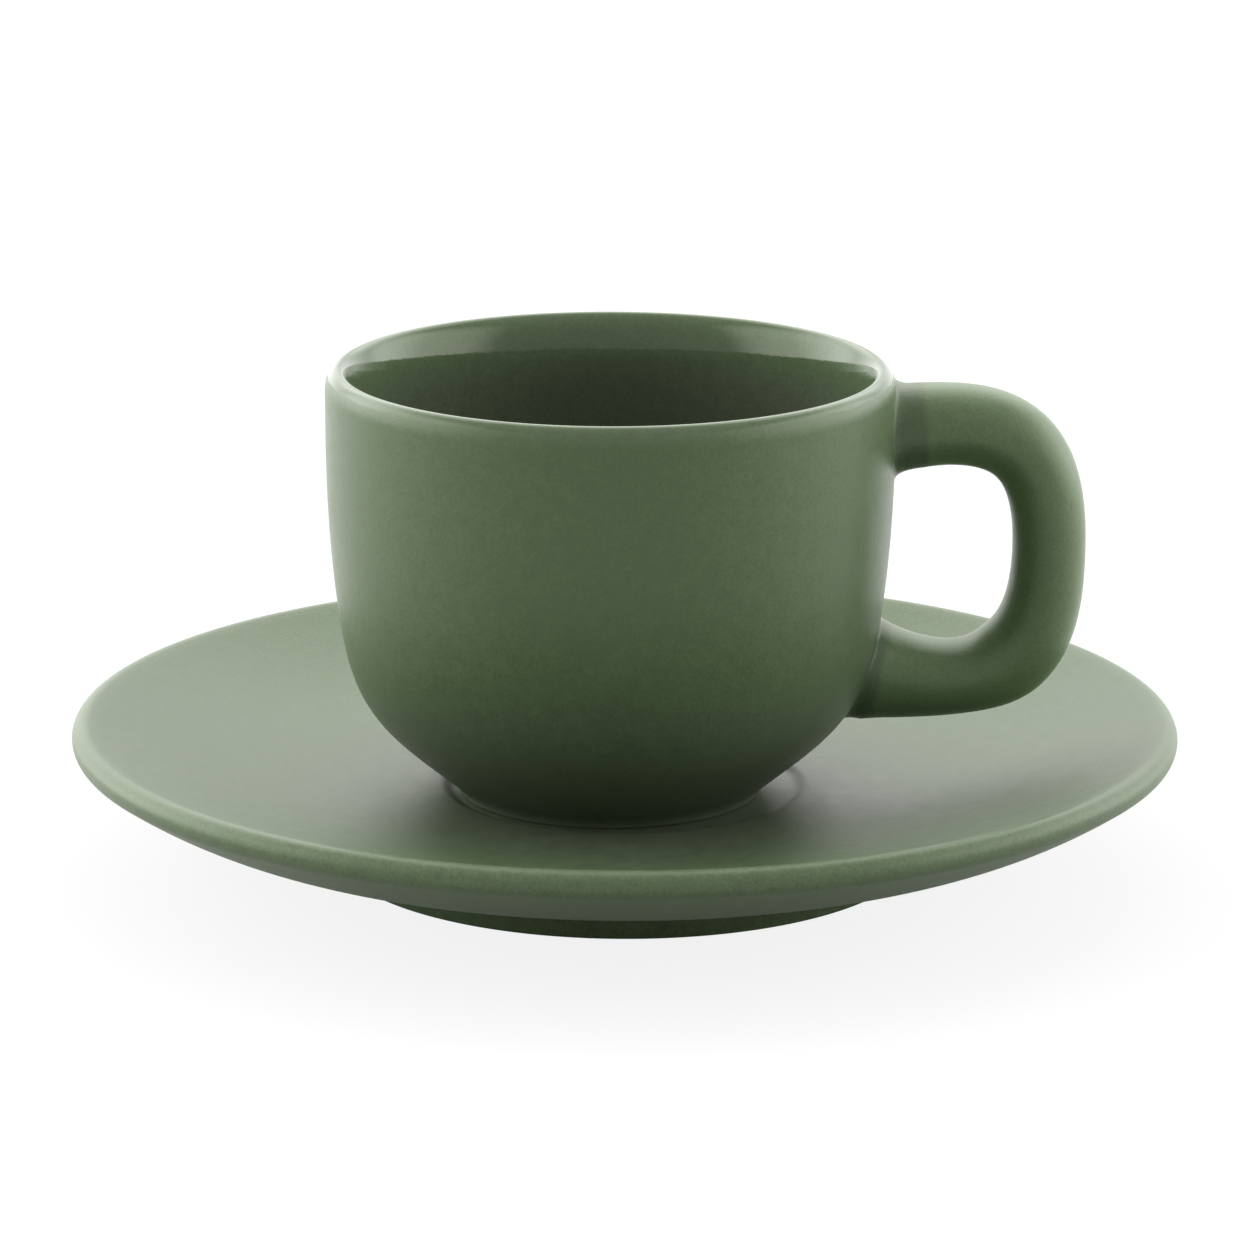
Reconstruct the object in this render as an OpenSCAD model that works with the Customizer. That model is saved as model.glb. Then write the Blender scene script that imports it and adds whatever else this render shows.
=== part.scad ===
// Espresso cup with a loop handle, standing in the well of its saucer.
// Lengths are in millimetres. The origin is the middle of the saucer's foot on the table, +Z is up,
// and the handle points along +X. Each fired clay casting is one solid.

/* [Saucer] */
// Outer diameter of the saucer
saucer_d = 120; // [108:1:150]
// Height of the rim above the table
saucer_h = 15.8; // [14.6:0.1:20]
// Thickness of the rounded rim
saucer_rim_t = 3; // [2.4:0.1:4]
// Outer diameter of the foot ring
saucer_foot_d = 63.4; // [56:0.2:76]
// Width of the foot ring
saucer_foot_w = 2.8; // [2:0.1:5]
// Height of the foot ring under the flange
saucer_foot_h = 4.3; // [3:0.1:5]
// Thickness of the saucer under the well
saucer_base_t = 4.2; // [3.4:0.1:5]
// Height of the well's floor above the table
well_floor_h = 7.4; // [6.6:0.1:8]
// Depth of the well below the flange
well_depth = 0.6; // [0.4:0.1:1]
// Width of the soft step from the flange down into the well
well_step_w = 0.9; // [0.6:0.1:2]
// Play of the cup's foot in the well, on each side
well_play = 2.05; // [0.9:0.05:3]

/* [Cup] */
// Outer diameter of the cup at its mouth
mouth_d = 61.3; // [56:0.1:72]
// Height of the cup from its foot to its lip
cup_h = 46.9; // [42:0.1:58]
// Thickness of the wall below the lip
wall_t = 3.5; // [2.8:0.1:4]
// How much the wall has drawn in where the bowl begins to turn under
shoulder_inset = 1.35; // [0.6:0.05:3]
// Height over which the outside rounds in to the lip
lip_round_h = 2.4; // [1.6:0.1:5]
// Height over which the inside flares up to the lip
lip_inside_h = 8; // [5:0.5:12]
// Outer diameter of the cup's foot ring where it stands
cup_foot_d = 32.9; // [30:0.1:38]
// How much wider the foot ring's radius is where it meets the bowl
cup_foot_taper = 0.6; // [0.2:0.1:0.8]
// Width of the cup's foot ring
cup_foot_w = 2.6; // [1.8:0.1:4]
// How much of the foot ring shows above the well
foot_reveal = 0.6; // [0.4:0.05:2]
// Thickness of the cup's floor
floor_t = 3.2; // [2.4:0.1:4.5]
// Depth of the recess inside the cup's foot ring
cup_recess = 1.2; // [0.6:0.1:1.8]

/* [Handle] */
// How far the handle's outer face stands out from the wall
handle_reach = 20.7; // [17:0.1:28]
// Drop from the lip to the middle of the upper joint
handle_drop = 6.9; // [6.3:0.1:10]
// Height of the middle of the lower joint above the foot
handle_low_h = 13.8; // [12:0.1:16]
// Width of the handle, across the grip
handle_w = 10.4; // [8:0.1:13]
// Thickness of the handle at its outermost point
handle_t = 7.9; // [6:0.1:9.4]
// Thickness of the handle behind the upper joint
handle_top_t = 8.6; // [7:0.1:10]
// Thickness of the handle behind the lower joint
handle_low_t = 9.3; // [7.3:0.1:9.8]
// How much thinner the lower arm is in its middle, as a percentage
handle_waist = 13.5; // [0:0.5:16]
// How far the slip fillet swells the upper joint
flare_top = 0.9; // [0:0.1:1.4]
// How far the slip fillet swells the lower joint
flare_low = 1.6; // [0:0.1:2.5]
// Length over which a slip fillet dies away
flare_len = 2.8; // [1.5:0.1:4]
// Squareness of the handle's section, 2 being an ellipse
handle_squareness = 2.4; // [2:0.1:3.2]

/* [Fit] */
// Gap between the foot and the well's side where the cup stands closest to it
seat_gap = 0.45; // [0.35:0.05:0.8]
// Radius that softens the small edges of the feet
edge_r = 0.4; // [0.2:0.05:0.5]

/* [Hidden] */
$fn = 96;

// Lengths of a curve's two pulls, as shares of its chord: 0.35 is close to an arc, and more is squarer
arc_pull_share = 0.35;
bowl_pull_share = 0.465;
step_pull_share = 0.45;
curve_steps = 10;
rim_steps = 8;
edge_steps = 3;
handle_steps = 22;
handle_sides = 28;

// Angles of the outlines, in degrees from level, along the way each outline is drawn
saucer_under_a = 6;
saucer_knee_a = 16;
saucer_rim_a = 35;
flange_a = 22;
bowl_base_a = 40;
bowl_shoulder_a = 82;
handle_top_a = 10;
handle_low_a = 14;

saucer_r = saucer_d / 2;
saucer_foot_r = saucer_foot_d / 2;
rim_r = saucer_rim_t / 2;
mouth_r = mouth_d / 2;
cup_foot_r = cup_foot_d / 2;
cup_foot_h = well_depth + foot_reveal;
well_r = cup_foot_r + well_play;
flange_h = well_floor_h + well_depth;
floor_h = cup_recess + floor_t;
// The cup has slid in its well, away from the handle
cup_shift = well_play - seat_gap;

// Where the underside of the flange turns up, as shares of the way from the foot to the rim
saucer_knee_shares = [0.537, 0.289];
// Where the flange starts to rise, as a share of the way from the well to the rim
flange_start_share = 0.06;
// Height of the bowl's shoulder, and where its wall is upright, as shares of the cup's height
shoulder_h_share = 0.4135;
upright_h_share = 0.8875;
// Where the lip is highest, as a share of the wall in from the outside
lip_crown_share = 0.404;
// Lengths of the inside flare's pulls, as shares of its width and of its height
lip_pull_shares = [0.5, 0.7];
// Radius of the flat of the cup's floor, as a share of the foot's radius
floor_flat_share = 0.48;
// How much the wall thickens down to the shoulder, as a share of the wall
wall_gain_share = 0.07;
// How deep in the wall the handle's curve starts at its top and its low joint, as shares of the wall
handle_joint_shares = [0.37, 0.69];
// Height of the handle's outermost point, as a share of the way between its joints
handle_out_share = 0.522;
// Lengths of the handle curve's pulls, as shares of its reach and of its rise: top, outer, outer, low
handle_pull_shares = [0.675, 1, 0.717, 0.904];
// How much thicker the handle is at its two bends, as a share of its own thickness
handle_bend_share = 0.036;
// How far a handle's end is made into the cup before it is trimmed, as a share of the mouth's radius
handle_root_share = 0.22;

function dir(a) = [cos(a), sin(a)];

function bezier(p, pc, qc, q, t) =
    pow(1 - t, 3) * p + 3 * t * pow(1 - t, 2) * pc + 3 * t * t * (1 - t) * qc + pow(t, 3) * q;

// A smooth curve from p to q that leaves at angle pa and arrives at angle qa
function curve(p, pa, q, qa, n = curve_steps, pull_share = arc_pull_share) =
    let (h = norm(q - p) * pull_share)
    [for (i = [0 : n]) bezier(p, p + h * dir(pa), q - h * dir(qa), q, i / n)];

// Part of a circle, or of an ellipse of half width r and half height h
function arc(c, r, from, to, n, h = undef) =
    [for (i = [0 : n])
        let (d = dir(from + (to - from) * i / n))
        c + [r * d[0], (is_undef(h) ? r : h) * d[1]]];

// The two rounded bottom edges of a foot ring, drawn from its inside to its outside
function foot_edges(r_in, r_out, r) = concat(
    arc([r_in + r, r], r, 180, 270, edge_steps),
    arc([r_out - r, r], r, 270, 360, edge_steps)
);

// Half section of the saucer, from the middle of its underside round to the middle of its well
function saucer_section() =
    let (
        under_h = well_floor_h - saucer_base_t,
        foot_in_r = saucer_foot_r - saucer_foot_w,
        rim_c = [saucer_r - rim_r, saucer_h - rim_r],
        rim_low = rim_c + rim_r * dir(saucer_rim_a - 90),
        rim_top = rim_c + rim_r * dir(flange_a + 90),
        foot_top = [saucer_foot_r, saucer_foot_h],
        knee = foot_top + [
            (rim_low[0] - foot_top[0]) * saucer_knee_shares[0],
            (rim_low[1] - foot_top[1]) * saucer_knee_shares[1]
        ],
        step_r = well_r + well_step_w,
        flange_start_r = step_r + (rim_top[0] - step_r) * flange_start_share
    )
    concat(
        [[0, under_h], [foot_in_r - edge_r, under_h], [foot_in_r, under_h - edge_r]],
        foot_edges(foot_in_r, saucer_foot_r, edge_r),
        [[saucer_foot_r, saucer_foot_h - edge_r]],
        curve(foot_top + [edge_r, 0], saucer_under_a, knee, saucer_knee_a),
        curve(knee, saucer_knee_a, rim_low, saucer_rim_a),
        arc(rim_c, rim_r, saucer_rim_a - 90, flange_a + 90, rim_steps),
        curve(rim_top, flange_a + 180, [flange_start_r, flange_h], 180),
        curve([step_r, flange_h], 180, [well_r, well_floor_h], 180, 2 * edge_steps, step_pull_share),
        [[0, well_floor_h]]
    );

// Outline of the cup's outside, from the edge of its foot up to the top of its lip
function cup_outside() =
    let (
        foot_top = [cup_foot_r + cup_foot_taper, cup_foot_h],
        shoulder = [mouth_r - shoulder_inset, cup_h * shoulder_h_share],
        upright = [mouth_r, cup_h * upright_h_share],
        crown_w = wall_t * lip_crown_share
    )
    concat(
        arc([cup_foot_r - edge_r, edge_r], edge_r, 270, 360, edge_steps),
        curve(foot_top, bowl_base_a, shoulder, bowl_shoulder_a, 2 * curve_steps, bowl_pull_share),
        curve(shoulder, bowl_shoulder_a, upright, 90),
        arc([mouth_r - crown_w, cup_h - lip_round_h], crown_w, 0, 90, rim_steps, lip_round_h)
    );

// Half section of the cup, from the middle of its underside round to the middle of its floor
function cup_section() =
    let (
        foot_in_r = cup_foot_r - cup_foot_w,
        crown = [mouth_r - wall_t * lip_crown_share, cup_h],
        inside_top = [mouth_r - wall_t, cup_h - lip_inside_h],
        crown_pull = (crown[0] - inside_top[0]) * lip_pull_shares[0],
        inner_shoulder = [
            mouth_r - shoulder_inset - wall_t * (1 + wall_gain_share),
            cup_h * shoulder_h_share
        ]
    )
    concat(
        [[0, cup_recess], [foot_in_r - edge_r, cup_recess]],
        arc([foot_in_r + edge_r, edge_r], edge_r, 180, 270, edge_steps),
        cup_outside(),
        [for (i = [1 : rim_steps])
            bezier(crown, crown - [crown_pull, 0],
                inside_top + [0, lip_inside_h * lip_pull_shares[1]], inside_top, i / rim_steps)],
        curve(inside_top, 270, inner_shoulder, 180 + bowl_shoulder_a),
        curve(inner_shoulder, 180 + bowl_shoulder_a, [cup_foot_r * floor_flat_share, floor_h], 180,
            2 * curve_steps),
        [[0, floor_h]]
    );

// Half section of the space the cup fills with its mouth closed, for trimming the handle's ends
function cup_block_section() = concat([[0, 0]], cup_outside(), [[0, cup_h]]);

// Middle line of the handle, from inside the wall, round the grip and into the wall again
handle_top = [mouth_r - wall_t * handle_joint_shares[0], cup_h - handle_drop];
handle_low = [mouth_r - shoulder_inset - wall_t * handle_joint_shares[1], handle_low_h];
handle_out = [
    mouth_r + handle_reach - handle_t / 2,
    handle_low[1] + (handle_top[1] - handle_low[1]) * handle_out_share
];

function handle_path() =
    let (
        top_dir = dir(handle_top_a),
        low_dir = dir(180 - handle_low_a),
        pulls = [
            (handle_out[0] - handle_top[0]) * handle_pull_shares[0],
            (handle_top[1] - handle_out[1]) * handle_pull_shares[1],
            (handle_out[1] - handle_low[1]) * handle_pull_shares[2],
            (handle_out[0] - handle_low[0]) * handle_pull_shares[3]
        ],
        root = mouth_r * handle_root_share
    )
    concat(
        [handle_top - root * top_dir],
        [for (i = [0 : handle_steps])
            bezier(handle_top, handle_top + pulls[0] * top_dir,
                handle_out + [0, pulls[1]], handle_out, i / handle_steps)],
        [for (i = [1 : handle_steps])
            bezier(handle_out, handle_out - [0, pulls[2]],
                handle_low - pulls[3] * low_dir, handle_low, i / handle_steps)],
        [handle_low + root * low_dir]
    );

// An S-shaped blend from 0 to 1
function ease(t) = t * t * (3 - 2 * t);

// Half thickness of the handle at ring i of the path, before its fillets: t is 0 at the upper joint,
// 1 at the outermost point and 2 at the lower joint
function handle_half(i) =
    let (
        t = min(max((i - 1) / handle_steps, 0), 2),
        t_here = t < 1
            ? handle_top_t + (handle_t - handle_top_t) * ease(t)
            : handle_t + (handle_low_t - handle_t) * ease(t - 1),
        waist = t > 1.5 ? handle_waist / 100 * pow(sin(360 * t), 2) : 0
    )
    t_here / 2 * (1 + handle_bend_share * pow(sin(180 * t), 2) - waist);

// Distance of each ring along the path from the first point that lies in the wall
function run_lengths(path) =
    [for (i = 0, s = 0; i < len(path);
        s = s + (i < 1 || i + 1 >= len(path) ? 0 : norm(path[i + 1] - path[i])), i = i + 1) s];

// One ring of the handle: an oval of half thickness a and half width b, square to the path
function handle_ring(p, along, a, b) =
    let (square_to = [-along[1], along[0]])
    [for (k = [0 : handle_sides - 1])
        let (
            c = cos(360 * k / handle_sides),
            s = sin(360 * k / handle_sides),
            u = a * sign(c) * pow(abs(c), 2 / handle_squareness),
            v = b * sign(s) * pow(abs(s), 2 / handle_squareness)
        )
        [p[0] + u * square_to[0], v, p[1] + u * square_to[1]]];

function handle_rings() =
    let (
        path = handle_path(),
        last = len(path) - 1,
        runs = run_lengths(path),
        total = runs[last - 1]
    )
    [for (i = [0 : last])
        let (
            step = path[min(i + 1, last)] - path[max(i - 1, 0)],
            swell = flare_top * exp(-runs[i] / flare_len)
                + flare_low * exp(-max(total - runs[i], 0) / flare_len)
        )
        handle_ring(path[i], step / norm(step), handle_half(i) + swell, handle_w / 2 + swell)];

module swept(rings) {
    m = len(rings[0]);
    n = len(rings);
    polyhedron(
        points = [for (ring = rings) each ring],
        faces = concat(
            [[for (k = [0 : m - 1]) k]],
            [[for (k = [m - 1 : -1 : 0]) (n - 1) * m + k]],
            [for (i = [0 : n - 2], k = [0 : m - 1])
                let (k2 = (k + 1) % m)
                [i * m + k, (i + 1) * m + k, (i + 1) * m + k2, i * m + k2]]
        )
    );
}

module on_saucer() {
    translate([-cup_shift, 0, well_floor_h])
        children();
}

module saucer() {
    color([0.42, 0.48, 0.37])
        rotate_extrude()
            polygon(saucer_section());
}

module cup_body() {
    color([0.36, 0.42, 0.31])
        on_saucer()
            rotate_extrude()
                polygon(cup_section());
}

module cup_handle() {
    color([0.38, 0.44, 0.33])
        on_saucer()
            difference() {
                swept(handle_rings());
                rotate_extrude()
                    polygon(cup_block_section());
            }
}

saucer();
cup_body();
cup_handle();
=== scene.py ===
import math
import bmesh
import bpy
from mathutils import Matrix, Vector
from mathutils.bvhtree import BVHTree
from mathutils.geometry import interpolate_bezier


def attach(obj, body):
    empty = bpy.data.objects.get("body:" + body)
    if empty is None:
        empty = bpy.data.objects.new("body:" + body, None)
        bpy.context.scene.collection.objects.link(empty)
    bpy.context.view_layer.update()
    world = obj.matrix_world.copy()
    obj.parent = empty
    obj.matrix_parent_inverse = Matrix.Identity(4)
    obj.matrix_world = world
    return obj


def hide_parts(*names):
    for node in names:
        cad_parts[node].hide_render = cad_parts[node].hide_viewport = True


# Espresso cup with a loop handle, on its saucer. Sizes in the dictionaries are millimetres.
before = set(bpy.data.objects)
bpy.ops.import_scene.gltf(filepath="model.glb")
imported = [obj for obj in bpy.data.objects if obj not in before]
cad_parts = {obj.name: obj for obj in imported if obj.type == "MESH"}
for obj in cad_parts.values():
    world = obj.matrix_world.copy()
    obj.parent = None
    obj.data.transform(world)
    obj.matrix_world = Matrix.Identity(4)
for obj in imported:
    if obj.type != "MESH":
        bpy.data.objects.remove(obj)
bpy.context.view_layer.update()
mm = 0.001


# Helpers that the three castings share

def heading(degrees):
    return Vector((math.cos(math.radians(degrees)), math.sin(math.radians(degrees))))


def sweep(start, startAngle, end, endAngle, pull=0.35, count=12):
    # smooth curve that leaves at one angle and arrives at another
    reach = (end - start).length * pull
    return interpolate_bezier(start, start + reach * heading(startAngle),
                              end - reach * heading(endAngle), end, count + 1)


def roundEdge(centre, radius, fromAngle, toAngle, count=6, height=None):
    points = []
    for i in range(count + 1):
        way = heading(fromAngle + (toAngle - fromAngle) * i / count)
        points.append(centre + Vector((radius * way.x, (height or radius) * way.y)))
    return points


def flatRun(start, end, hold=0.3):
    # straight stretch, held flat by a point near each end
    along = (end - start).normalized() * hold
    return [start, start + along, end - along, end]


def turnOnWheel(name, outline, axisX, baseZ, turns):
    # a casting turned from its half outline, like a pot on a wheel
    outline = [p for i, p in enumerate(outline) if i == 0 or (p - outline[i - 1]).length > 0.001]
    top = max(range(len(outline)), key=lambda i: outline[i].y)
    bm = bmesh.new()
    fromRim = bm.verts.layers.float.new("fromRim")   # mm along the outline, below 0 outside the rim
    verts = [bm.verts.new(((axisX + p.x) * mm, 0, (baseZ + p.y) * mm)) for p in outline]
    for i, v in enumerate(verts):
        steps = zip(outline[min(i, top):max(i, top)], outline[min(i, top) + 1:max(i, top) + 1])
        v[fromRim] = math.copysign(sum((b - a).length for a, b in steps), i - top)
        if i:
            bm.edges.new((verts[i - 1], v))
    bmesh.ops.spin(bm, geom=bm.verts[:] + bm.edges[:], cent=(axisX * mm, 0, 0), axis=(0, 0, 1),
                   angle=2 * math.pi, steps=turns, use_merge=True)
    bmesh.ops.remove_doubles(bm, verts=bm.verts[:], dist=1e-6)
    bmesh.ops.recalc_face_normals(bm, faces=bm.faces[:])
    return keepMesh(name, bm)


def keepMesh(name, bm):
    for face in bm.faces:
        face.smooth = True
    mesh = bpy.data.meshes.new(name)
    bm.to_mesh(mesh)
    bm.free()
    piece = bpy.data.objects.new(name, mesh)
    bpy.context.scene.collection.objects.link(piece)
    return piece


# Glazes

class Wire:
    # one socket; sums and products written with it become Math nodes
    def __init__(self, bench, socket):
        self.bench = bench
        self.socket = socket

    def maths(self, operation, first, second):
        return self.bench.node("ShaderNodeMath", {"operation": operation}, {0: first, 1: second})

    def __add__(self, other):
        return self.maths("ADD", self, other)

    __radd__ = __add__

    def __sub__(self, other):
        return self.maths("SUBTRACT", self, other)

    def __rsub__(self, other):
        return self.maths("SUBTRACT", other, self)

    def __mul__(self, other):
        return self.maths("MULTIPLY", self, other)

    __rmul__ = __mul__


class ShaderBench:
    # lays out the nodes of one material, one lamp or the world
    def __init__(self, owner):
        owner.use_nodes = True
        self.tree = owner.node_tree
        self.tree.nodes.clear()

    def node(self, kind, settings=None, inputs=None, output=0):
        made = self.tree.nodes.new(kind)
        for key, value in (settings or {}).items():
            setattr(made, key, value)
        for key, value in (inputs or {}).items():
            if isinstance(value, Wire):
                self.tree.links.new(value.socket, made.inputs[key])
            else:
                made.inputs[key].default_value = value
        return Wire(self, made.outputs[output]) if len(made.outputs) else made

    def place(self):
        # Object coordinates: a piece sits at the origin, so these are metres in the shared frame
        return self.node("ShaderNodeTexCoord", output="Object")

    def split(self, vector):
        parts = self.node("ShaderNodeSeparateXYZ", inputs={0: vector})
        outputs = parts.socket.node.outputs
        return [Wire(self, outputs[i]) for i in range(3)]

    def distance(self, name):
        # millimetres that a mesh carries at its points
        return self.node("ShaderNodeAttribute", {"attribute_name": name}, output="Fac")

    def step(self, value, low, high):
        # 0 below low, 1 above high, a soft step between them
        return self.node("ShaderNodeMapRange", {"interpolation_type": "SMOOTHSTEP"},
                         {"Value": value, "From Min": low, "From Max": high})

    def cloud(self, size, detail, seed):
        # noise whose features are about that many millimetres, about -0.5 to 0.5
        return self.node("ShaderNodeTexNoise", {"noise_dimensions": "4D"},
                         {"Vector": self.place(), "W": seed, "Scale": 1 / (size * mm),
                          "Detail": detail}) - 0.5

    def blend(self, share, first, second, how="MIX"):
        return self.node("ShaderNodeMix", {"data_type": "RGBA", "blend_type": how},
                         {0: share, 6: first, 7: second}, output=2)

    def grey(self, value):
        # a number as a neutral colour, for multiplying a colour by it
        return self.node("ShaderNodeCombineColor", inputs={0: value, 1: value, 2: value})


glazeLook = {
    "sage": (0.086, 0.127, 0.061, 1),        # the glaze where it lies even
    "sageThin": (0.116, 0.157, 0.088, 1),    # where it has run thin, on rims and edges
    "sageHandleLit": (0.114, 0.166, 0.082, 1),  # painted light: a lighter copy of the glaze on the handle, standing in for more light on it
    "sagePaintedShade": (0.080, 0.097, 0.067, 1),  # painted shade: darker, greyer glaze low on the cup and round the saucer's well, where shade falls
    "sageCreaseShade": (0.062, 0.084, 0.048, 1),  # painted shade: darkest, in the creases where the handle joins, where shade falls
    "liner": (0.090, 0.112, 0.072, 1),       # gloss glaze, darker and greyer further down inside the cup
    "clay": (0.36, 0.32, 0.26, 1),           # bare foot ring, wiped clean before firing
    "mattRoughness": 0.40, "glossRoughness": 0.06, "clayRoughness": 0.85,
    "ior": 1.43,
    "sheenTint": (0.92, 1.0, 0.80, 1),       # the glaze tints what it reflects head-on
    "toneChange": (0.16, 0.30, 0.50),        # share of the tone that drift, mottle and grain change
    "roughChange": (0.16, 0.20),             # the same for the roughness, by mottle and grain
    "relief": (0.012, 0.018, 0.022, 0.006),  # height of ripple, mottle, grain and peel, in mm
    "thinOutside": (-3.2, -1.2),             # where it begins to run thin, in mm from a rim's top
    "thinInside": (0.2, 2.2),                # and where it lies even again
    "lipLine": 1.35,                         # how far outside the lip's top the gloss glaze reaches
    "linerDarkening": (1.0, 9.0),                 # where it turns darker and greyer, inside from the lip
    "creaseShadeSpan": (0.1, 1.3),                    # mm from a joint over which the painted crease shade fades out
    "bareClay": (0.03, 0.09),                # how far up from its foot a piece is bare, in mm
}


def brewGlaze(name, footZ=0, turned=True, gloss=False, shadeSpan=None, fleck=1.0):
    # shadeSpan: from where to where along the outline painted shade darkens the glaze, in mm from
    # the rim
    # fleck: how strong the flecking is
    material = bpy.data.materials.new(name)
    bench = ShaderBench(material)
    look = glazeLook

    drift = bench.cloud(24, detail=2, seed=1.5)          # slow change of tone over the whole piece
    mottle = bench.cloud(1.7, detail=4, seed=4)          # soft flecking of a matt glaze
    grain = bench.cloud(0.34, detail=2, seed=7)          # fine crystals in the glaze
    ripple = bench.cloud(3.2, detail=1, seed=11)         # slow waves left by dipping

    driftTone, mottleTone, grainTone = look["toneChange"]
    mottleRough, grainRough = look["roughChange"]
    rippleHigh, mottleHigh, grainHigh, peelHigh = look["relief"]
    tone = 1 + drift * driftTone + (mottle * mottleTone + grain * grainTone) * fleck
    roughness = look["mattRoughness"] + mottle * mottleRough + grain * grainRough
    height = grain * grainHigh + mottle * mottleHigh + ripple * rippleHigh
    # painted light: the handle takes a lighter copy of the glaze
    colour = look["sage" if turned else "sageHandleLit"]

    if turned:
        # glaze runs thin where the rim turns over; painted shade darkens it low on the cup and round
        # the saucer's well
        run = bench.distance("fromRim")
        thin = (bench.step(run + drift, *look["thinOutside"])
                * (1 - bench.step(run + drift, *look["thinInside"])))
        colour = bench.blend(thin * 0.6, colour, look["sageThin"])
        # painted shade: darker, greyer colour over the span given
        colour = bench.blend(bench.step(run + ripple * 4, *shadeSpan) * 0.8, colour, look["sagePaintedShade"])
        z = bench.split(bench.place())[2]
        low, high = ((footZ + k) * mm for k in look["bareClay"])
        bare = 1 - bench.step(z + mottle * (0.05 * mm), low, high)
    else:
        # painted shade: darker glaze in the creases of the two joints
        creaseShade = 1 - bench.step(bench.distance("fromJoint") + ripple, *look["creaseShadeSpan"])
        colour = bench.blend(creaseShade * 0.6, colour, look["sageCreaseShade"])
    if gloss:
        # gloss glaze inside and over the lip, ending in a slightly wandering line outside
        line, soft = -look["lipLine"], 0.12
        liner = bench.step(run + ripple * 0.6, line - soft, line + soft)
        # darker and greyer further down inside the cup
        deeper = bench.step(run + ripple * 2, *look["linerDarkening"])
        peel = bench.cloud(0.45, detail=1, seed=15)      # faint orange peel of the gloss glaze
        colour = bench.blend(deeper, colour, look["liner"])
        roughness = roughness * (1 - liner) + look["glossRoughness"] * liner
        height = height * (1 - liner) + (ripple * rippleHigh + peel * peelHigh) * liner
    if turned:
        # bare clay on the narrow face the piece stands on
        colour = bench.blend(bare, colour, look["clay"])
        roughness = roughness * (1 - bare) + look["clayRoughness"] * bare

    colour = bench.blend(1.0, colour, bench.grey(tone), how="MULTIPLY")
    relief = bench.node("ShaderNodeBump", {}, {"Strength": 1.0, "Distance": mm, "Height": height})
    shader = bench.node("ShaderNodeBsdfPrincipled", {}, {
        "Base Color": colour, "Roughness": roughness, "IOR": look["ior"],
        "Specular Tint": look["sheenTint"], "Normal": relief})
    bench.node("ShaderNodeOutputMaterial", {}, {"Surface": shader})
    return material


# Saucer

saucerSizes = {
    "diameter": 120, "height": 15.8, "rim": 3.0,
    "footDiameter": 63.4, "footWidth": 2.8, "footHeight": 4.3,
    "wellFloor": 7.4, "wellDepth": 0.6, "wellRadius": 18.3, "wellStep": 1.9, "base": 4.2,
    "edge": 0.4, "footFillet": 0.6, "footFilletInside": 0.8,
    "kneeOut": 0.537, "kneeUp": 0.289,       # where the underside steepens, as shares of foot to rim
    "flangeFlat": 0.06,                      # share of the flange that stays level round the well
    "underAngle": 6, "kneeAngle": 16, "rimAngle": 35, "flangeAngle": 22, "steps": 192,
}


def saucerOutline(s):
    radius, rimRound, edge = s["diameter"] / 2, s["rim"] / 2, s["edge"]
    footOut = s["footDiameter"] / 2
    footIn = footOut - s["footWidth"]
    under = s["wellFloor"] - s["base"]
    rimCentre = Vector((radius - rimRound, s["height"] - rimRound))
    rimLow = rimCentre + rimRound * heading(s["rimAngle"] - 90)
    rimTop = rimCentre + rimRound * heading(s["flangeAngle"] + 90)
    footTop = Vector((footOut, s["footHeight"]))
    toRim = rimLow - footTop
    knee = footTop + Vector((toRim.x * s["kneeOut"], toRim.y * s["kneeUp"]))
    well = Vector((s["wellRadius"], s["wellFloor"]))
    step = well + Vector((s["wellStep"], s["wellDepth"]))
    rise = step.x + (rimTop.x - step.x) * s["flangeFlat"]
    inner, outer = s["footFilletInside"], s["footFillet"]
    line = flatRun(Vector((0, under)), Vector((footIn - inner, under)))
    line += roundEdge(Vector((footIn - inner, under - inner)), inner, 90, 0)
    line += roundEdge(Vector((footIn + edge, edge)), edge, 180, 270)
    line += roundEdge(Vector((footOut - edge, edge)), edge, 270, 360)
    line += roundEdge(footTop + outer * Vector((1, -0.9)), outer, 180, 90 + s["underAngle"])
    line += sweep(footTop + outer * Vector((1, 0.1)), s["underAngle"],
                  knee, s["kneeAngle"], count=20)[1:]
    line += sweep(knee, s["kneeAngle"], rimLow, s["rimAngle"], count=20)
    line += roundEdge(rimCentre, rimRound, s["rimAngle"] - 90, s["flangeAngle"] + 90, count=20)
    line += sweep(rimTop, s["flangeAngle"] + 180, Vector((rise, step.y)), 180, count=40)
    line += sweep(step, 180, well, 180, 0.45, 10)
    line += flatRun(well, Vector((0, well.y)))
    return line


saucer = turnOnWheel("saucerCasting", saucerOutline(saucerSizes), 0, 0, saucerSizes["steps"])
# painted shade darkens the glaze from 16 to 40 mm in from the rim, towards the well
saucer.data.materials.append(brewGlaze("sageMattSaucer", shadeSpan=(16, 40), fleck=1.7))
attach(saucer, "saucer")
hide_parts("saucer")
print("saucer turned")


# Cup

cupSizes = {
    "mouth": 61.3, "height": 46.9, "wall": 3.5, "shoulderInset": 1.35,
    "shoulderAt": 0.4135, "uprightAt": 0.8875,      # the wall's turns, as shares of the height
    "baseAngle": 40, "shoulderAngle": 82, "bowlPull": 0.465, "innerWall": 1.07,
    "lipRound": 2.4, "lipInside": 8.0, "lipCrown": 1.414,
    "footDiameter": 32.9, "footTaper": 0.6, "footWidth": 2.6, "footHeight": 1.2,
    "floor": 4.4, "floorFlat": 0.48, "recess": 1.2, "edge": 0.4,
    "axisX": -1.6, "standsAt": 7.4, "steps": 160,
}


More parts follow.
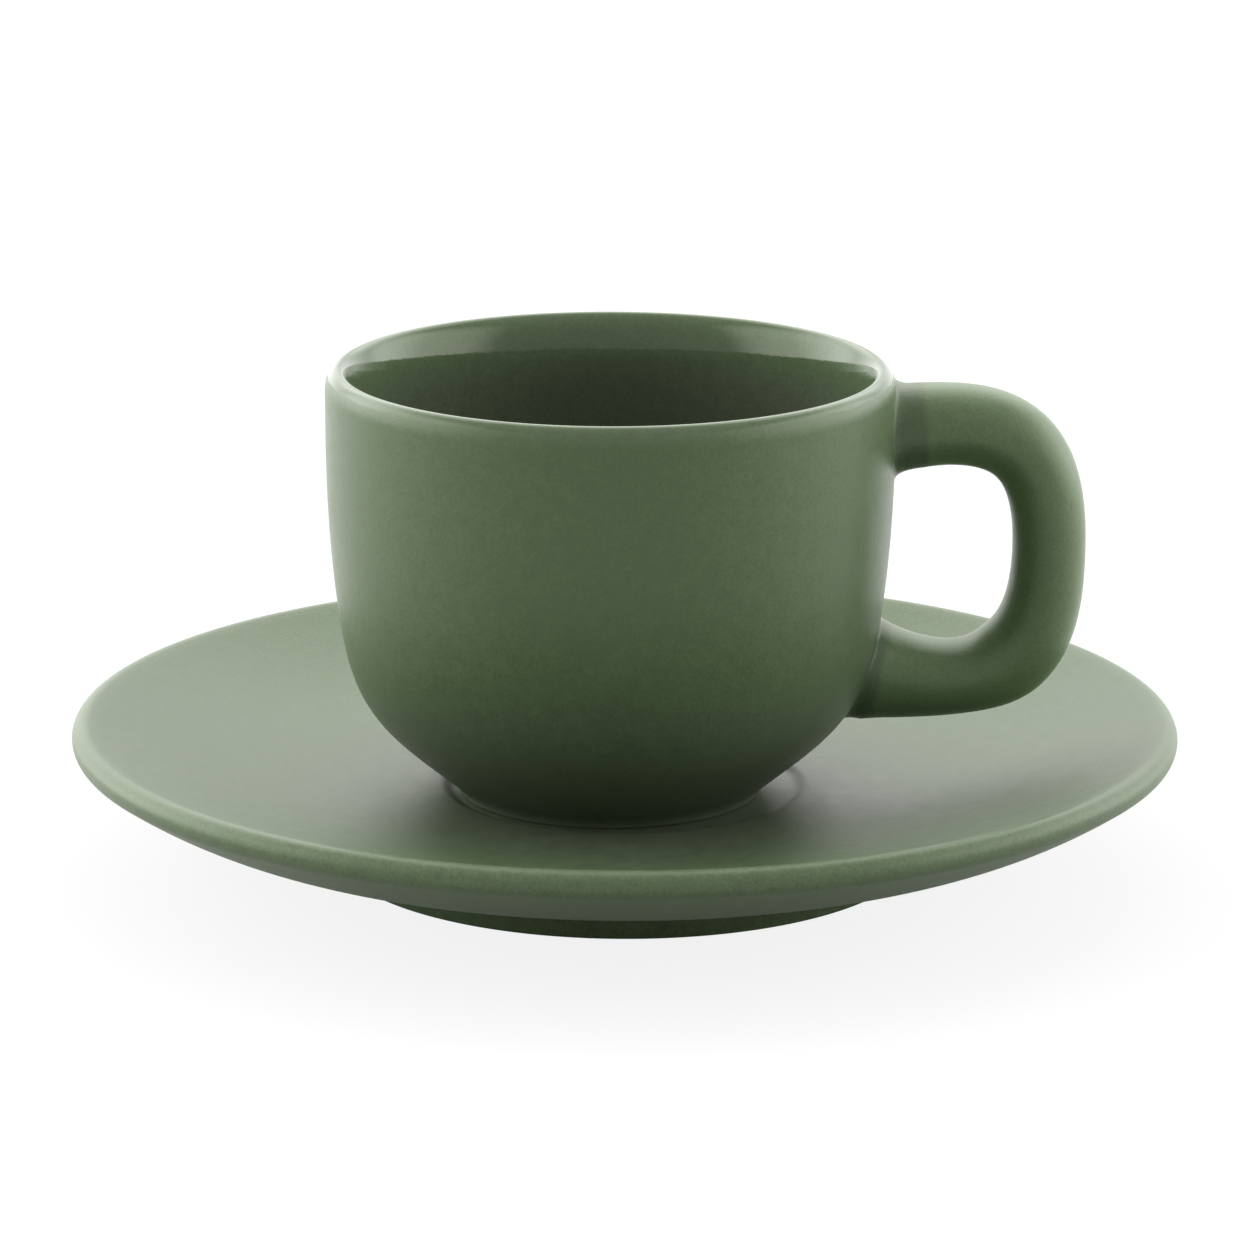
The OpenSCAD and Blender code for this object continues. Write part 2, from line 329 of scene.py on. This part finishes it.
def cupOutline(s):
    radius, tall, edge = s["mouth"] / 2, s["height"], s["edge"]
    foot = s["footDiameter"] / 2
    footIn = foot - s["footWidth"]
    lean = s["shoulderAngle"]
    shoulder = Vector((radius - s["shoulderInset"], tall * s["shoulderAt"]))
    upright = Vector((radius, tall * s["uprightAt"]))
    crown = Vector((radius - s["lipCrown"], tall))
    insideTop = Vector((radius - s["wall"], tall - s["lipInside"]))
    innerShoulder = shoulder - Vector((s["wall"] * s["innerWall"], 0))
    floorEnd = Vector((foot * s["floorFlat"], s["floor"]))
    flare = crown.x - insideTop.x
    line = flatRun(Vector((0, s["recess"])), Vector((footIn - edge, s["recess"])))
    line += roundEdge(Vector((footIn - edge, s["recess"] - edge)), edge, 90, 0)
    line += roundEdge(Vector((footIn + edge, edge)), edge, 180, 270)
    line += roundEdge(Vector((foot - edge, edge)), edge, 270, 360)
    line += sweep(Vector((foot + s["footTaper"], s["footHeight"])), s["baseAngle"],
                  shoulder, lean, s["bowlPull"], 40)
    line += sweep(shoulder, lean, upright, 90, count=16)
    line += roundEdge(crown - Vector((0, s["lipRound"])), s["lipCrown"], 0, 90, 24, s["lipRound"])
    line += interpolate_bezier(crown, crown - Vector((flare * 0.5, 0)),
                               insideTop + Vector((0, s["lipInside"] * 0.7)), insideTop, 25)
    line += sweep(insideTop, 270, innerShoulder, 180 + lean, count=16)
    line += sweep(innerShoulder, 180 + lean, floorEnd, 180, count=36)
    line += flatRun(floorEnd, Vector((0, s["floor"])))
    return line


cup = turnOnWheel("cupCasting", cupOutline(cupSizes), cupSizes["axisX"], cupSizes["standsAt"],
                  cupSizes["steps"])
# painted shade darkens the glaze from 24 to 44 mm down the outside, towards the foot
cup.data.materials.append(brewGlaze("sageMattGlossCup", cupSizes["standsAt"], gloss=True,
                                    shadeSpan=(-24, -44)))
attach(cup, "cup")
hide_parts("cup_body")
print("cup turned")


# Handle

handleSizes = {
    "reach": 20.7, "drop": 6.9, "lowJoint": 13.8,
    "width": 10.4, "thick": 7.9, "thickTop": 8.6, "thickLow": 9.3, "waist": 0.135,
    "swellTop": 0.9, "swellLow": 1.6, "swellLength": 2.8,
    "squareness": 2.06, "bend": 0.036,
    "startsInside": 1.3, "endsInside": 2.42,        # how deep in the wall the loop starts and ends
    "angleTop": 10, "angleLow": 14, "outerAt": 0.522,
    "pulls": (0.675, 1.0, 0.717, 0.904),            # roundness of the loop's four quarters
    "fillet": 1.25, "filletLow": 1.1, "filletSides": 0.55, "filletSteps": 7,
    "rings": 36, "sides": 48,
}


def handlePath(s, c):
    # middle line of the loop, from one joint to the other, in the plane y = 0
    radius = c["mouth"] / 2
    top = Vector((radius - s["startsInside"], c["height"] - s["drop"]))
    low = Vector((radius - c["shoulderInset"] - s["endsInside"], s["lowJoint"]))
    outer = Vector((radius + s["reach"] - s["thick"] / 2,
                    low.y + (top.y - low.y) * s["outerAt"]))
    spans = (outer.x - top.x, top.y - outer.y, outer.y - low.y, outer.x - low.x)
    pulls = [span * share for span, share in zip(spans, s["pulls"])]
    upper = interpolate_bezier(top, top + pulls[0] * heading(s["angleTop"]),
                               outer + Vector((0, pulls[1])), outer, s["rings"] + 1)
    lower = interpolate_bezier(outer, outer - Vector((0, pulls[2])),
                               low - pulls[3] * heading(180 - s["angleLow"]), low, s["rings"] + 1)
    return upper + lower[1:]


def ease(t):
    return t * t * (3 - 2 * t)


def handleHalf(s, t):
    # half thickness along the loop: t is 0 at the top joint, 1 at the outside, 2 at the low joint
    if t < 1:
        thick = s["thickTop"] + (s["thick"] - s["thickTop"]) * ease(t)
    else:
        thick = s["thick"] + (s["thickLow"] - s["thick"]) * ease(t - 1)
    waist = s["waist"] * math.sin(2 * math.pi * t) ** 2 if t > 1.5 else 0
    return thick / 2 * (1 + s["bend"] * math.sin(math.pi * t) ** 2 - waist)


def pullHandle(s, c, wall):
    path = handlePath(s, c)
    runs = [0]
    for a, b in zip(path, path[1:]):
        runs.append(runs[-1] + (b - a).length)
    total, last = runs[-1], len(path) - 1

    def section(i):
        # place, turn and size of ring i, as one matrix
        along = (path[min(i + 1, last)] - path[max(i - 1, 0)]).normalized()
        swell = (s["swellTop"] * math.exp(-runs[i] / s["swellLength"])
                 + s["swellLow"] * math.exp(-(total - runs[i]) / s["swellLength"]))
        half = handleHalf(s, 2 * i / last) + swell
        wide = s["width"] / 2 + swell
        forward = Vector((along.x, 0, along.y))
        turn = Matrix((Vector((-along.y, 0, along.x)), Vector((0, 1, 0)), forward)).transposed()
        centre = Vector((path[i].x + c["axisX"], 0, path[i].y + c["standsAt"])) * mm
        return (Matrix.Translation(centre) @ turn.to_4x4()
                @ Matrix.Diagonal((half * mm, wide * mm, 1, 1)))

    # rings from one joint to the other; those whose edge would be in the wall are left out
    def clear(i, gap):
        ring = section(i)
        inner = min((ring @ Vector((k, 0, 0)) for k in (-1, 1)), key=lambda p: p.x)
        spot, normal, _, _ = wall.find_nearest(inner)
        return (inner - spot).dot(normal) > gap * mm

    free = [i for i in range(last + 1)
            if clear(i, s["fillet"] if i < last / 2 else s["filletLow"])]
    first, final = free[0], free[-1]
    bm = bmesh.new()
    fromJoint = bm.verts.layers.float.new("fromJoint")  # mm along the loop from the nearer joint
    ring = bmesh.ops.create_circle(bm, segments=s["sides"], radius=1)["verts"]
    power = 2 / s["squareness"]
    for v in ring:
        # a circle made squarer
        v.co.x, v.co.y = (math.copysign(abs(k) ** power, k) for k in (v.co.x, v.co.y))
    bmesh.ops.transform(bm, matrix=section(first), verts=ring)
    start = ring
    for i in range(first + 1, final + 1):
        grown = bmesh.ops.extrude_edge_only(bm, edges=loopEdges(ring))["geom"]
        ring = [v for v in grown if isinstance(v, bmesh.types.BMVert)]
        bmesh.ops.transform(bm, matrix=section(i) @ section(i - 1).inverted(), verts=ring)
        for v in ring:
            v[fromJoint] = min(runs[i] - runs[first], runs[final] - runs[i])
    lute(bm, start, section(first), -1, s["fillet"], s, wall)
    lute(bm, ring, section(final), 1, s["filletLow"], s, wall)
    bmesh.ops.recalc_face_normals(bm, faces=bm.faces[:])
    return keepMesh("handleCasting", bm)


def loopEdges(ring):
    # each edge once, in an order that is the same in every run
    members = set(ring)
    return list(dict.fromkeys(e for v in ring for e in v.link_edges if e.other_vert(v) in members))


def lute(bm, ring, frameOfRing, way, size, s, wall):
    # slip fillet: the ring runs on to the wall and turns out along it
    forward = (frameOfRing.to_3x3() @ Vector((0, 0, way))).normalized()
    ring = list(ring)
    starts = [v.co.copy() for v in ring]
    hits = [wall.ray_cast(p, forward)[0] or wall.find_nearest(p)[0] for p in starts]
    middle = sum(hits, Vector()) / len(hits)
    feet = []
    broad = max(abs(p.y) for p in starts)
    for p, hit in zip(starts, hits):
        # the fillet is fullest above and below, and thins out on the two sides
        spread = size * mm * (1 - s["filletSides"] * (p.y / broad) ** 2)
        foot, normal, _, _ = wall.find_nearest(hit + (hit - middle).normalized() * spread)
        feet.append(foot - normal * 0.02 * mm)       # just under the wall's face
    for k in range(1, s["filletSteps"] + 1):
        t, old = k / s["filletSteps"], {v: i for i, v in enumerate(ring)}
        grown = bmesh.ops.extrude_edge_only(bm, edges=loopEdges(ring))["geom"]
        for v in grown:
            if isinstance(v, bmesh.types.BMVert):
                # each new vertex follows the one it grew from
                i = next(old[w] for w in (e.other_vert(v) for e in v.link_edges) if w in old)
                v.co = (1 - t) ** 2 * starts[i] + 2 * t * (1 - t) * hits[i] + t * t * feet[i]
                ring[i] = v


cupShape = bmesh.new()
cupShape.from_mesh(cup.data)
wall = BVHTree.FromBMesh(cupShape)
cupShape.free()
handle = pullHandle(handleSizes, cupSizes, wall)
handle.data.materials.append(brewGlaze("sageMattHandle", turned=False))
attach(handle, "cup")
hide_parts("cup_handle")
print("handle pulled and luted on")


# Floor, light and camera

studio = {
    "floorSeen": 1.0, "floorBounce": 0.30,   # floor as the camera sees it, and as it lights the set
    "shadowFade": 0.86,                      # how much of the floor's white stays in the shadow
    "floorHalf": 4, "floorBelow": 0.02,      # metres from its middle to its edge, mm under the foot
    "ambient": 0.43, "panelsAway": 1.3, "panelsAimAt": (0, 0, 0.03),
    "panelFade": 0.25, "panelCore": 2.13,    # how soft a panel's edge is, how bright its middle
    "cameraAt": (0, -0.599354, 0.183102), "pitch": 14.7207, "roll": 0.132, "lens": 164.497,
}

# soft panels: degrees round from the camera, right being +, degrees up, width, height (m), watts
panels = {
    "softBackRight": (140, 15, 2.6, 1.8, 7.2),
    "softBackLeft": (-140, 15, 2.6, 1.8, 10.5),
    "softRight": (95, 15, 2.4, 1.8, 18.5),
    "softLeft": (-98, 20, 2.4, 1.8, 21),
    "softTop": (180, 48, 2.4, 1.6, 12.5),
}


def seenRays(bench):
    # rays from the camera, and those that see the set in a gloss surface or through glass
    rays = bench.node("ShaderNodeLightPath").socket.node.outputs
    direct, gloss, through = (Wire(bench, rays[k]) for k in
                              ("Is Camera Ray", "Is Glossy Ray", "Is Transmission Ray"))
    return direct, bench.node("ShaderNodeMath", {"operation": "MINIMUM"},
                              {0: direct + gloss + through, 1: 1.0})


floorShape = bmesh.new()
bmesh.ops.create_grid(floorShape, x_segments=1, y_segments=1, size=studio["floorHalf"],
                      matrix=Matrix.Translation((0, 0, -studio["floorBelow"] * mm)))
floor = keepMesh("floor", floorShape)
paint = bpy.data.materials.new("paleFloor")
bench = ShaderBench(paint)
direct, seen = seenRays(bench)
bounce, shown = studio["floorBounce"], studio["floorSeen"]
shade = bench.blend(seen, (bounce, bounce, bounce, 1), (shown, shown, shown, 1))
matt = bench.node("ShaderNodeBsdfDiffuse", {}, {"Color": shade})
white = bench.node("ShaderNodeEmission", {}, {"Color": (1, 1, 1, 1), "Strength": 1.0})
bench.node("ShaderNodeOutputMaterial", {}, {"Surface": bench.node(
    "ShaderNodeMixShader", {}, {0: direct * studio["shadowFade"], 1: matt, 2: white})})
floor.data.materials.append(paint)

world = bpy.data.worlds.new("studioWorld")
bpy.context.scene.world = world
bench = ShaderBench(world)
seen = seenRays(bench)[1]
strength = seen + (1 - seen) * studio["ambient"]
bench.node("ShaderNodeOutputWorld", {}, {"Surface": bench.node(
    "ShaderNodeBackground", {}, {"Color": (1, 1, 1, 1), "Strength": strength})})


def softPanel(name, bearing, lift, width, height, watts):
    # a panel lamp that aims at the cup and fades to nothing at its edges
    lamp = bpy.data.lights.new(name, "AREA")
    lamp.shape, lamp.size, lamp.size_y, lamp.energy = "RECTANGLE", width, height, watts
    bench = ShaderBench(lamp)
    u, v, _ = bench.split(bench.node("ShaderNodeNewGeometry", output="Parametric"))
    fade = (bench.step(u * (1 - u), 0, studio["panelFade"])
            * bench.step(v * (1 - v), 0, studio["panelFade"]) * studio["panelCore"])
    bench.node("ShaderNodeOutputLight", {}, {"Surface": bench.node(
        "ShaderNodeEmission", {}, {"Color": (1, 1, 1, 1), "Strength": fade})})
    holder = bpy.data.objects.new(name, lamp)
    bpy.context.scene.collection.objects.link(holder)
    turn, rise = math.radians(bearing), math.radians(lift)
    out = Vector((math.sin(turn) * math.cos(rise), -math.cos(turn) * math.cos(rise),
                  math.sin(rise)))
    holder.location = out * studio["panelsAway"] + Vector(studio["panelsAimAt"])
    holder.rotation_euler = (-out).to_track_quat("-Z", "Y").to_euler()


for name, place in panels.items():
    softPanel(name, *place)

lens = bpy.data.cameras.new("photoCamera")
lens.sensor_width, lens.lens, lens.clip_start = 36, studio["lens"], 0.01
camera = bpy.data.objects.new("photoCamera", lens)
bpy.context.scene.collection.objects.link(camera)
camera.matrix_world = (Matrix.Translation(studio["cameraAt"])
                       @ Matrix.Rotation(math.radians(90 - studio["pitch"]), 4, "X")
                       @ Matrix.Rotation(math.radians(studio["roll"]), 4, "Z"))
bpy.context.scene.camera = camera
bpy.context.scene.view_settings.view_transform = "Standard"
print("studio set up")
